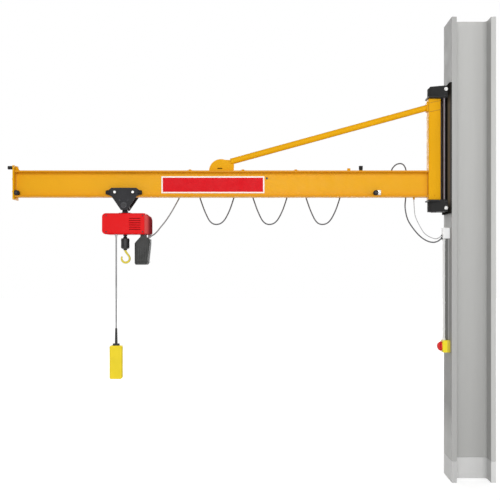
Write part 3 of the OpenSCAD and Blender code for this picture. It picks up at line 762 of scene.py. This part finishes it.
def build_hoist_trim():
    low, high = BOX["hoist_body"]
    half = high.y
    louvre_zs = [low.z + 0.033 + i * 0.016 for i in range(6)]

    @on_trolley("hoist_screws", "dark_steel")
    def screws(bm):
        for side, x, z in product(SIDES, (low.x + 0.03, high.x - 0.014),
                                  (low.z + 0.018, high.z - 0.018)):
            socket_screw(bm, (x, side * (half - 0.001), z), Y * side, 0.006)
        for y, z in product((-0.055, 0.055), (low.z + 0.04, high.z - 0.04)):
            socket_screw(bm, (low.x + 0.0005, y, z), -X, 0.006)

    @on_trolley("hoist_louvre_shadows", "louvre_shade", "hoist_red")
    def louvres(bm):
        for side, z in product(SIDES, louvre_zs):
            slab(bm, (TROLLEY_X + 0.0425, side * (half - 0.0055) - 0.001, z + 0.0003),
                 (TROLLEY_X + 0.1255, side * (half - 0.0055) + 0.001, z + 0.0047))

    @on_trolley("hoist_louvre_lips", "hoist_red")
    def lips(bm):
        for side, z in product(SIDES, louvre_zs):
            slab(bm, (TROLLEY_X + 0.041, side * half - 0.0012, z + 0.005),
                 (TROLLEY_X + 0.127, side * half + 0.0012, z + 0.007), 0.0006)

    @on_trolley("hoist_gear_cover", "hoist_red")
    def gear_cover(bm):
        outline = [(0.062 * math.cos(a), 0.052 * math.sin(a)) for a in around(48)]
        prism(bm, outline, (low.x + 0.001, 0, centre("hoist_body")[2]), Y, -Z, 0.003)

    @on_trolley("hoist_fan_grille", "grille_red", "end_cap")
    def grille(bm):
        middle = Vector((BOX["hoist_end_cap"][1].x - 0.0008, 0, centre("hoist_end_cap")[2] - 0.012))
        for r in (0.012, 0.02, 0.028):
            ring = [middle + r * (math.cos(a) * Y + math.sin(a) * Z) for a in around(40)]
            tube(bm, ring, 0.0012, 6, side=X, closed=True)
        disc(bm, middle - X * 0.001, X, 0.008, 0.003)
        for a in around(8)[:4]:
            arm = 0.028 * (math.cos(a) * Y + math.sin(a) * Z)
            tube(bm, [middle - arm, middle + arm], 0.0012, 6, side=X)

    @on_trolley("hoist_cap_gasket", "black_plastic")
    def gasket(bm):
        y, z0, z1 = half - 0.004, low.z + 0.004, high.z - 0.006
        x0, x1 = high.x - 0.0012, high.x + 0.0012
        for a, b in (((x0, -y, z0), (x1, y, z0 + 0.002)), ((x0, -y, z1 - 0.002), (x1, y, z1)),
                     ((x0, -y, z0), (x1, 0.002 - y, z1)), ((x0, y - 0.002, z0), (x1, y, z1))):
            slab(bm, a, b)

    @on_trolley("hoist_lug_bolts", "dark_steel")
    def lug_bolts(bm):
        for y, x in product((-0.02, 0.02), (-0.038, 0.038)):
            bolt(bm, (TROLLEY_X + x, y, high.z - 0.0005), Z, 0.008)


def build_container_trim():
    low, high = BOX["chain_container"]
    half = high.y

    @on_trolley("container_ribs", "container")
    def ribs(bm):
        for side, k in product(SIDES, range(5)):
            x = low.x + 0.022 + k * 0.017
            path = [(x, side * half, z) for z in (low.z + 0.034, low.z + 0.06, high.z - 0.09)]
            tube(bm, path, [0.0012, 0.0018, 0.0012], 8, side=X)

    @on_trolley("container_belt", "black_plastic")
    def belt(bm):
        middle = (centre("chain_container")[0] - 0.002, 0, low.z + 0.02)
        path = rounded_loop(middle, X, Y, (high.x - low.x) / 2 - 0.0075, half, 0.016)
        tube(bm, path, 0.0022, 8, side=Z, closed=True)


def build_trolley_trim():
    out = BOX["trolley_side_plates"][1].y
    bar_end = BOX["load_bar"][1].y
    buffers = BOX["trolley_buffers"]
    axle_z = centre("trolley_wheels")[2]
    axles = list(product(SIDES, (TROLLEY_X - 0.066, TROLLEY_X + 0.066)))

    @on_trolley("trolley_axle_washers", "trolley_paint")
    def washers(bm):
        for side, x in axles:
            disc(bm, (x, side * (out - 0.0005), axle_z), Y * side, 0.0165, 0.0028)

    @on_trolley("trolley_axle_heads", "zinc")
    def axle_heads(bm):
        tip = BOX["wheel_axles"][1].y
        for side, x in axles:
            turned(bm, (x, side * (tip - 0.0006), axle_z), Y * side,
                   [(0, 0), (10.2, 0), (10.2, 1.4), (8.8, 3), (4, 3), (4, 1.2), (0, 1.2)])

    @on_trolley("load_bar_ends", "black_plastic")
    def bar_ends(bm):
        for side in SIDES:
            face = side * bar_end
            disc(bm, (TROLLEY_X, face - side * 0.0005, BAR_Z), Y * side, 0.012, 0.0035)
            tube(bm, [(TROLLEY_X + way * 0.026, face - side * 0.003, BAR_Z - way * 0.004)
                      for way in SIDES], 0.0022, 8)

    @on_trolley("load_bar_bosses", "dark_steel")
    def bosses(bm):
        for side in SIDES:
            turned(bm, (TROLLEY_X, side * (out - 0.0005), BAR_Z), Y * side,
                   [(12.5, 0), (24, 0), (24, 1.6), (22.5, 2.6), (12.5, 2.6)], 36)

    @on_trolley("suspension_collar", "trolley_paint")
    def collar(bm):
        foot = BOX["trolley_side_plates"][0].z
        for side in SIDES:
            slab(bm, (TROLLEY_X - 0.034, side * 0.016 - 0.01, foot + 0.008),
                 (TROLLEY_X + 0.034, side * 0.016 + 0.01, foot + 0.03), 0.004)

    @on_trolley("trolley_plate_bolts", "dark_steel")
    def plate_bolts(bm):
        for x, side in product((-0.03, 0.03), SIDES):
            bolt(bm, (TROLLEY_X + x, side * (out - 0.0005), BAR_Z + 0.034), Y * side, 0.007)

    @on_trolley("buffer_collars", "rubber")
    def buffer_collars(bm):
        ends = ((buffers[0].x, 1), (buffers[1].x, -1))
        for side, (x, way) in product(SIDES, ends):
            turned(bm, (x + way * 0.01, side * 0.06, centre("trolley_buffers")[2]), X * way,
                   [(14, 0), (17.5, 2), (17.5, 6), (14, 8)], 28)

    @on_trolley("wheel_hub_rings", "wheel_steel")
    def hub_rings(bm):
        for side, x in axles:
            turned(bm, (x, side * 0.0462, axle_z), Y * side,
                   [(9, 0), (16, 0), (16.5, 1), (16.5, 3), (15, 4.2), (9, 4.2)], 32)


def build_pendant_trim():
    low, high = BOX["pendant_body"]
    middle = Vector(centre("pendant_body"))
    half_x, half_z = (high.x - low.x) / 2, (high.z - low.z) / 2
    face = high.y
    stop_z, up_z, down_z = low.z + 0.195, low.z + 0.13, low.z + 0.085

    @on_trolley("pendant_seam", "pendant_yellow")
    def seam(bm):
        tube(bm, rounded_loop(middle, X, Z, half_x, half_z, 0.014), 0.0009, 6, closed=True)

    @on_trolley("pendant_grip_ribs", "pendant_yellow")
    def grips(bm):
        for side, k in product(SIDES, range(7)):
            x, z = middle.x + side * half_x, middle.z - 0.05 + k * 0.01
            tube(bm, [(x, middle.y + y, z) for y in (-0.012, 0, 0.012)],
                 [0.001, 0.0018, 0.001], 8, side=Z)

    @on_trolley("pendant_screws", "pendant_yellow")
    def screws(bm):
        for x, z in product((-0.034, 0.034), (low.z + 0.016, high.z - 0.016)):
            socket_screw(bm, (middle.x + x, low.y + 0.0015, z), -Y, 0.0042)

    @on_trolley("pendant_button_bezels", "grey_plastic")
    def bezels(bm):
        for z, r in ((stop_z, 19.5), (up_z, 16.5), (down_z, 16.5)):
            turned(bm, (middle.x, face - 0.0005, z), Y,
                   [(r - 3, 0), (r, 0.5), (r, 2), (r - 3, 3)], 32)

    @on_trolley("pendant_stop_button", "red_plastic")
    def mushroom(bm):
        turned(bm, (middle.x, face + 0.0058, stop_z), Y,
               [(0, 0), (12, 0), (15, 1), (16.5, 4), (14, 8), (8, 9.8), (0, 10.2)], 32)

    @on_trolley("pendant_button_arrows", "white_plastic")
    def arrows(bm):
        for z, way in ((up_z, 1), (down_z, -1)):
            outline = [(-0.006, -0.004 * way), (0.006, -0.004 * way), (0, 0.006 * way)]
            prism(bm, outline[::way], (middle.x, face + 0.0048, z), X, Z, -0.0012)

    @on_trolley("pendant_boot_rings", "black_plastic")
    def boot_rings(bm):
        for k in range(9):
            z = BOX["pendant_boot"][0].z + 0.024 + k * 0.01
            r = 9.3 - k * 0.2
            turned(bm, (middle.x, middle.y, z), Z,
                   [(r - 1, 0), (r + 1.2, 1.2), (r + 1.2, 3.2), (r - 1, 4.4)])


build_hoist_trim()
build_container_trim()
build_trolley_trim()
build_pendant_trim()


# ---- jib ----

def build_jib_welds():
    boom_low, boom_high = BOX["boom_beam"]
    mast_low, mast_high = BOX["mast"]
    gusset_low, gusset_high = BOX["strut_gusset"]

    # Where the strut meets the mast: its ends' heights on the mast's left and right side
    left, right = mast_low.x + 0.005, mast_high.x - 0.005
    foot_edge = ((left, 2.699), (right, 2.716))
    head_edge = ((left, 2.763), (right, 2.78))

    @on_jib("strut_saddles", "jib_paint")
    def saddles(bm):
        outline = [*foot_edge, *reversed(head_edge)]
        for y in (mast_low.y, mast_high.y + 0.003):
            prism(bm, outline, (0, y, 0), X, Z, 0.003)

    @on_jib("strut_saddle_welds", "weld_under_paint", "jib_paint")
    def saddle_welds(bm):
        for y, (a, b) in product((mast_low.y - 0.001, mast_high.y + 0.001), (foot_edge, head_edge)):
            bead(bm, (a[0], y, a[1]), (b[0], y, b[1]), 0.003)

    @on_jib("boom_end_welds", "weld_under_paint", "jib_paint")
    def at_boom_ends(bm):
        for (x, inwards), side in product(((boom_low.x, 1), (boom_high.x, -1)), SIDES):
            for z in (boom_low.z + 0.013, boom_high.z - 0.013):
                bead(bm, (x, side * 0.01, z), (x, side * boom_high.y, z), 0.0035)
            bead(bm, (x + inwards * 0.001, side * 0.005, boom_low.z + 0.016),
                 (x + inwards * 0.001, side * 0.005, boom_high.z - 0.016), 0.0042)

    @on_jib("gusset_welds", "weld_under_paint", "jib_paint")
    def at_gusset(bm):
        for side in SIDES:
            y, z = side * gusset_high.y, gusset_low.z + 0.001
            bead(bm, (gusset_low.x + 0.002, y, z), (gusset_high.x - 0.002, y, z), 0.0035)

    @on_jib("strut_pad_welds", "weld_under_paint", "jib_paint")
    def at_strut_pad(bm):
        x, half, foot, head = mast_low.x, 0.031, 2.706, 2.772
        for y in (-half, half):
            bead(bm, (x, y, foot), (x, y, head), 0.0028)
        for z in (foot, head):
            bead(bm, (x, -half, z), (x, half, z), 0.0028)


def build_sign():
    low, high = BOX["sign_plate"]
    y = low.y
    w = 0.01

    @on_jib("sign_border", "sign_white", "sign_red")
    def border(bm):
        for x0, x1, z0, z1 in (
            (low.x, high.x, low.z, low.z + w), (low.x, high.x, high.z - w, high.z),
            (low.x, low.x + w, low.z + w, high.z - w), (high.x - w, high.x, low.z + w, high.z - w),
        ):
            slab(bm, (x0, y - 0.0006, z0), (x1, y + 0.0006, z1))

    @on_jib("sign_rivets", "sign_red")
    def rivets(bm):
        inset = 0.022
        for x, z in product((low.x + inset, (low.x + high.x) / 2, high.x - inset),
                            (low.z + inset, high.z - inset)):
            turned(bm, (x, y + 0.0002, z), -Y,
                   [(0, 0), (4.2, 0), (4, 0.9), (2.8, 1.9), (0, 2.4)], 18)


def build_jib_trim():
    boom_foot = BOX["boom_beam"][0].z
    rail_low, rail_high = BOX["festoon_rail"]
    web_face = -0.004
    stop_radius = 0.0185
    inner_stop = BOX["trolley_stops"][1].x - stop_radius
    outer_stop = BOX["trolley_stops"][0].x + stop_radius

    @on_jib("rail_arm_bolts", "zinc")
    def arm_bolts(bm):
        for i in range(5):
            x = rail_low.x + 0.03 + i * (rail_high.x - rail_low.x - 0.06) / 4
            bolt(bm, (x, rail_low.y - 0.014, BOX["rail_arms"][1].z - 0.0003), Z, 0.007)
            bolt(bm, (x, rail_high.y - 0.0003, rail_low.z + 0.015), Y, 0.006)

    @on_jib("stop_nuts", "dark_steel")
    def stop_nuts(bm):
        z = boom_foot + 0.012 + stop_radius
        for x, side in product((inner_stop, outer_stop), SIDES):
            disc(bm, (x, side * 0.0615, z), Y * side, 0.011, 0.003)
            hexagon(bm, (x, side * 0.0635, z), Y * side, 0.016, 0.006)

    @on_jib("inner_stop_clamp", "zinc")
    def stop_clamp(bm):
        slab(bm, (inner_stop + 0.01, web_face - 0.026, boom_foot + 0.0125),
             (inner_stop + 0.041, web_face, boom_foot + 0.052), 0.005)
        bolt(bm, (inner_stop + 0.03, web_face - 0.0255, boom_foot + 0.034), -Y, 0.007)

    @on_jib("web_bolts", "dark_steel")
    def web_bolts(bm):
        bolt(bm, (-1.498, web_face + 0.0005, 2.214), -Y, 0.008)
        for x in (-0.585, -0.559):
            bolt(bm, (x, 0.0535, 2.236), Y, 0.005)

    # Painted shadow: a dark block that fills the gusset's slot
    @on_jib("gusset_slot_shadow", "slot_shade", "jib_paint")
    def slot_shadow(bm):
        half_length, r = 0.0155, 0.0036
        outline = []
        for side, start in ((1, -90), (-1, 90)):
            for k in range(9):
                a = math.radians(start + k * 22.5)
                outline.append((side * half_length + r * math.cos(a), r * math.sin(a)))
        inside = BOX["strut_gusset"][1].y - 0.001
        prism(bm, outline, (-1.845, inside, BOX["strut_gusset"][0].z + 0.019), X, Z, 2 * inside)

    @on_jib("end_plate_bolts", "jib_paint")
    def end_plate_bolts(bm):
        low = BOX["end_plate"][0]
        for y, z in product((-0.035, 0.035), (low.z + 0.06, low.z + 0.15)):
            bolt(bm, (low.x + 0.0003, y, z), -X, 0.01)

    @on_jib("mast_grease_nipples", "jib_paint")
    def grease_nipples(bm):
        low, high = BOX["mast"]
        for z in (low.z + 0.03, high.z - 0.03):
            turned(bm, (low.x + 0.045, low.y + 0.0005, z), -Y,
                   [(0, 0), (5, 0), (5, 3), (3, 4), (3.4, 7), (0, 9)], 16)


def build_carrier_trim():
    clip_y, clip_z = RAIL_Y / 1000, 2.193
    out = (RAIL_Y + 14) / 1000
    wheel_z = BOX["festoon_rail"][1].z + 0.0083
    for label in ("fixed_clamp", "carrier_3", "carrier_2", "carrier_1"):
        rolls = label != "fixed_clamp"
        body = label if rolls else "jib"
        x = centre(label)[0] if rolls else CLAMP_X / 1000

        @on(body)(f"{label}_screws", "zinc")
        def screws_and_pins(bm):
            for side in SIDES:
                socket_screw(bm, (x + side * 0.012, out - 0.0015, clip_z), Y, 0.0035)
            for side in SIDES if rolls else ():
                disc(bm, (x + side * 0.015, out - 0.0003, wheel_z), Y, 0.005, 0.001)

        @on(body)(f"{label}_strap", "black_plastic")
        def strap(bm):
            slab(bm, (x - 0.0185, clip_y - 0.0112, clip_z - 0.009),
                 (x + 0.0185, clip_y - 0.0095, clip_z + 0.009), 0.0008)


build_jib_welds()
build_sign()
build_jib_trim()
build_carrier_trim()


# ---- column side ----

def build_console_trim():
    low, high = BOX["console_plate"]
    upper_z = BOX["upper_bracket"][0].z
    lower_z = BOX["lower_bracket"][1].z
    cheek = BOX["upper_bracket"][1].y
    bolt_x = centre("bracket_bolts")[0]

    @on_column("console_plate_welds", "weld_under_black", "console_paint")
    def plate_welds(bm):
        for side in SIDES:
            y = side * (high.y - 0.002)
            bead(bm, (high.x, y, low.z + 0.003), (high.x, y, high.z - 0.003), 0.0025)
        for z in (low.z, high.z):
            bead(bm, (high.x - 0.001, -0.13, z), (high.x - 0.001, 0.13, z), 0.004)

    @on_column("bracket_socket_screws", "black_plastic", "console_paint")
    def bracket_screws(bm):
        for z, side in product((upper_z + 0.034, lower_z - 0.034), SIDES):
            socket_screw(bm, (bolt_x, side * (cheek - 0.0005), z), Y * side, 0.007)

    @on_column("bracket_welds", "weld_under_black", "console_paint")
    def bracket_welds(bm):
        for z, side in product((upper_z + 0.011, lower_z - 0.011), SIDES):
            y = side * (cheek - 0.0015)
            bead(bm, (bolt_x - 0.014, y, z), (bolt_x + 0.013, y, z), 0.003)

    @on_column("bracket_bolt_washers", "zinc")
    def bolt_washers(bm):
        for z, side in product((upper_z + 0.059, lower_z - 0.059), SIDES):
            disc(bm, (bolt_x, side * (cheek - 0.0005), z), Y * side, 0.0135, 0.0028)
            disc(bm, (bolt_x, side * (cheek + 0.0095), z), Y * side, 0.0085, 0.0025)

    @on_column("spacer_tube_welds", "weld_under_black", "console_paint")
    def tube_collars(bm):
        for y, (z, way) in product((-0.065, 0.065), ((lower_z, 1), (upper_z, -1))):
            turned(bm, (centre("spacer_tubes")[0], y, z), Z * way,
                   [(9, 0), (11.8, 0), (11.8, 2), (9.8, 6), (9, 6)])


def build_electrical_trim():
    face = BOX["junction_box"][1].x
    iso_low, iso_high = BOX["isolator_box"]
    _, iso_y, iso_z = centre("isolator_box")
    conduit_low, conduit_high = BOX["supply_conduit"]
    conduit_x, conduit_y, _ = centre("supply_conduit")

    @on_column("junction_lid_screws", "grey_plastic")
    def lid_screws(bm):
        for y, z in product((-0.069, -0.021), (1.773, 1.842)):
            disc(bm, (-0.2087, y, z), -X, 0.003, 0.0018)

    @on_column("junction_gland_nuts", "black_plastic")
    def gland_nuts(bm):
        slope = Vector((-4, 0, -3)) / 5
        for start, r, h in (((-0.203, -0.045, 1.778), 9.2, 19.7),
                            ((-0.203, -0.028, 1.796), 6.5, 14.7)):
            turned(bm, start, slope, [(r * 0.8, h * 0.35), (r, h * 0.36), (r, h * 0.72),
                                      (r * 0.86, h * 0.98), (r * 0.62, h)], 12)

    @on_column("isolator_ring_and_screws", "black_plastic")
    def isolator_trim(bm):
        turned(bm, (iso_low.x + 0.0005, iso_y, iso_z), -X,
               [(32.5, 0), (33.8, 0.3), (33.8, 1.2), (32.5, 1.5)], 48)
        for y, z in product((-0.031, 0.031), (-0.035, 0.035)):
            disc(bm, (iso_low.x + 0.0043, iso_y + y, iso_z + z), -X, 0.0032, 0.0018)

    @on("isolator_knob")("isolator_pointer", "white_plastic")
    def pointer(bm):
        knob_x = BOX["isolator_knob"][0].x
        slab(bm, (knob_x - 0.0006, iso_y - 0.0015, iso_z + 0.01),
             (knob_x + 0.0004, iso_y + 0.0015, iso_z + 0.025), 0.0002)

    @on_column("conduit_couplers", "grey_plastic")
    def couplers(bm):
        for z in (conduit_low.z, conduit_high.z - 0.016):
            turned(bm, (conduit_x, conduit_y, z), Z,
                   [(9, 0), (11.8, 0), (11.8, 14), (10.8, 16), (9, 16)])

    @on_column("conduit_saddles", "grey_plastic")
    def saddles(bm):
        for k in range(4):
            z = conduit_low.z + 0.08 + k * (conduit_high.z - conduit_low.z - 0.16) / 3
            turned(bm, (conduit_x, conduit_y, z - 0.007), Z,
                   [(9.1, 0), (10.4, 1), (10.4, 13), (9.1, 14)])

    # Mounting channel behind the conduit, in dark grey that is also painted shade of the gap
    # between conduit and column
    @on_column("conduit_channel", "channel_grey", "grey_plastic")
    def channel(bm):
        slab(bm, (conduit_x + 0.0095, conduit_y - 0.009, iso_high.z + 0.001),
             (face - 0.011, conduit_y + 0.009, conduit_high.z - 0.001), 0.001)

    @on_column("conduit_channel_foot", "column_paint", "grey_plastic")
    def channel_foot(bm):
        slab(bm, (face - 0.0115, conduit_y - 0.02, iso_high.z + 0.001),
             (face, conduit_y + 0.02, conduit_high.z - 0.001), 0.001)

    @on_column("isolator_base", "isolator_base_plastic", "yellow_plastic")
    def isolator_base(bm):
        slab(bm, (face - 0.022, iso_low.y - 0.0008, iso_low.z - 0.0008),
             (face, iso_high.y + 0.0008, iso_high.z + 0.0008), 0.001)


def build_column_seam():
    low, high = BOX["column_foot"]
    z = high.z - 0.002

    @on_column("column_seam_weld", "weld_under_grey", "column_paint")
    def seam(bm):
        for side in SIDES:
            x = side * (high.x - 0.003)
            bead(bm, (x, low.y + 0.006, z), (x, high.y - 0.006, z), 0.0026)
        for side, end in product(SIDES, SIDES):
            y = end * (high.y - 0.003)
            bead(bm, (side * 0.128, y, z), (side * 0.156, y, z), 0.0026)
        for side in SIDES:
            bead(bm, (-0.12, side * 0.0075, z), (0.12, side * 0.0075, z), 0.0022)


build_console_trim()
build_electrical_trim()
build_column_seam()


# ---- floor, light and backdrop ----

def build_floor():
    """Grey floor that takes shadows and is lifted to white for the rays that see it directly."""
    bpy.ops.mesh.primitive_plane_add(size=60, location=(0, 0, -0.001))
    floor = bpy.context.object
    floor.name = "floor"
    n = Nodes("floor")
    n.set(Base_Color=linear(225, 225, 225), Roughness=0.8)
    distance = n.new("VectorMath")
    distance.operation = "LENGTH"
    n.feed(distance.inputs[0], n.place)
    near, far = 3.0, 14.0
    lift = n.remap(distance.outputs["Value"], near, far, 0.5, 0.72)
    white = n.new("Emission", Color=WHITE, Strength=lift).outputs["Emission"]
    lit = n.shader.outputs["BSDF"]
    lifted, seen = n.new("AddShader"), n.new("MixShader", Fac=n.seen_directly())
    n.feed(lifted.inputs[0], lit)
    n.feed(lifted.inputs[1], white)
    n.feed(seen.inputs[1], lit)
    n.feed(seen.inputs[2], lifted.outputs["Shader"])
    n.feed(n.tree.nodes["Material Output"].inputs["Surface"], seen.outputs["Shader"])
    floor.data.materials.append(n.material)


def build_light():
    world = bpy.data.worlds.new("studio")
    scene.world = world
    world.use_nodes = True
    tree = Tree(world.node_tree)
    background = tree.tree.nodes["Background"]
    background.inputs["Color"].default_value = WHITE
    ambient, backdrop = 0.46, 1.0
    strength = tree.remap(tree.seen_directly(), 0, 1, ambient, backdrop)
    tree.feed(background.inputs["Strength"], strength)

    aim = Vector((-1.4, 0, 1.9))
    for name, place, size, power in (
        ("key", (-1.5, -10.0, 4.4), 5.0, 525),
        ("back", (-1.5, 9.0, 4.2), 5.0, 260),
        ("fill", (3.2, -5.2, 2.6), 2.6, 40),
    ):
        data = bpy.data.lights.new(name, "AREA")
        data.energy = power
        data.size = size
        lamp = placed(data)
        lamp.location = place
        lamp.rotation_euler = (aim - Vector(place)).to_track_quat("-Z", "Y").to_euler()
    scene.view_settings.view_transform = "Standard"


build_floor()
build_light()


# ---- CAD nodes keep their shape and get a finish ----

def dress_cad_nodes():
    nodes = frame["nodes"]
    for row in frame["record"]["subparts"]:
        obj = nodes[row["node"]]
        obj.data.materials.clear()
        obj.data.materials.append(MATERIALS[row["material_slot"]])
    for name, material in (("boom_beam", "boom_paint"), ("console_plate", "console_plate_paint"),
                           ("wheel_axles", "dark_steel"), ("cable_glands", "grey_cable")):
        nodes[name].data.materials[0] = MATERIALS[material]


dress_cad_nodes()
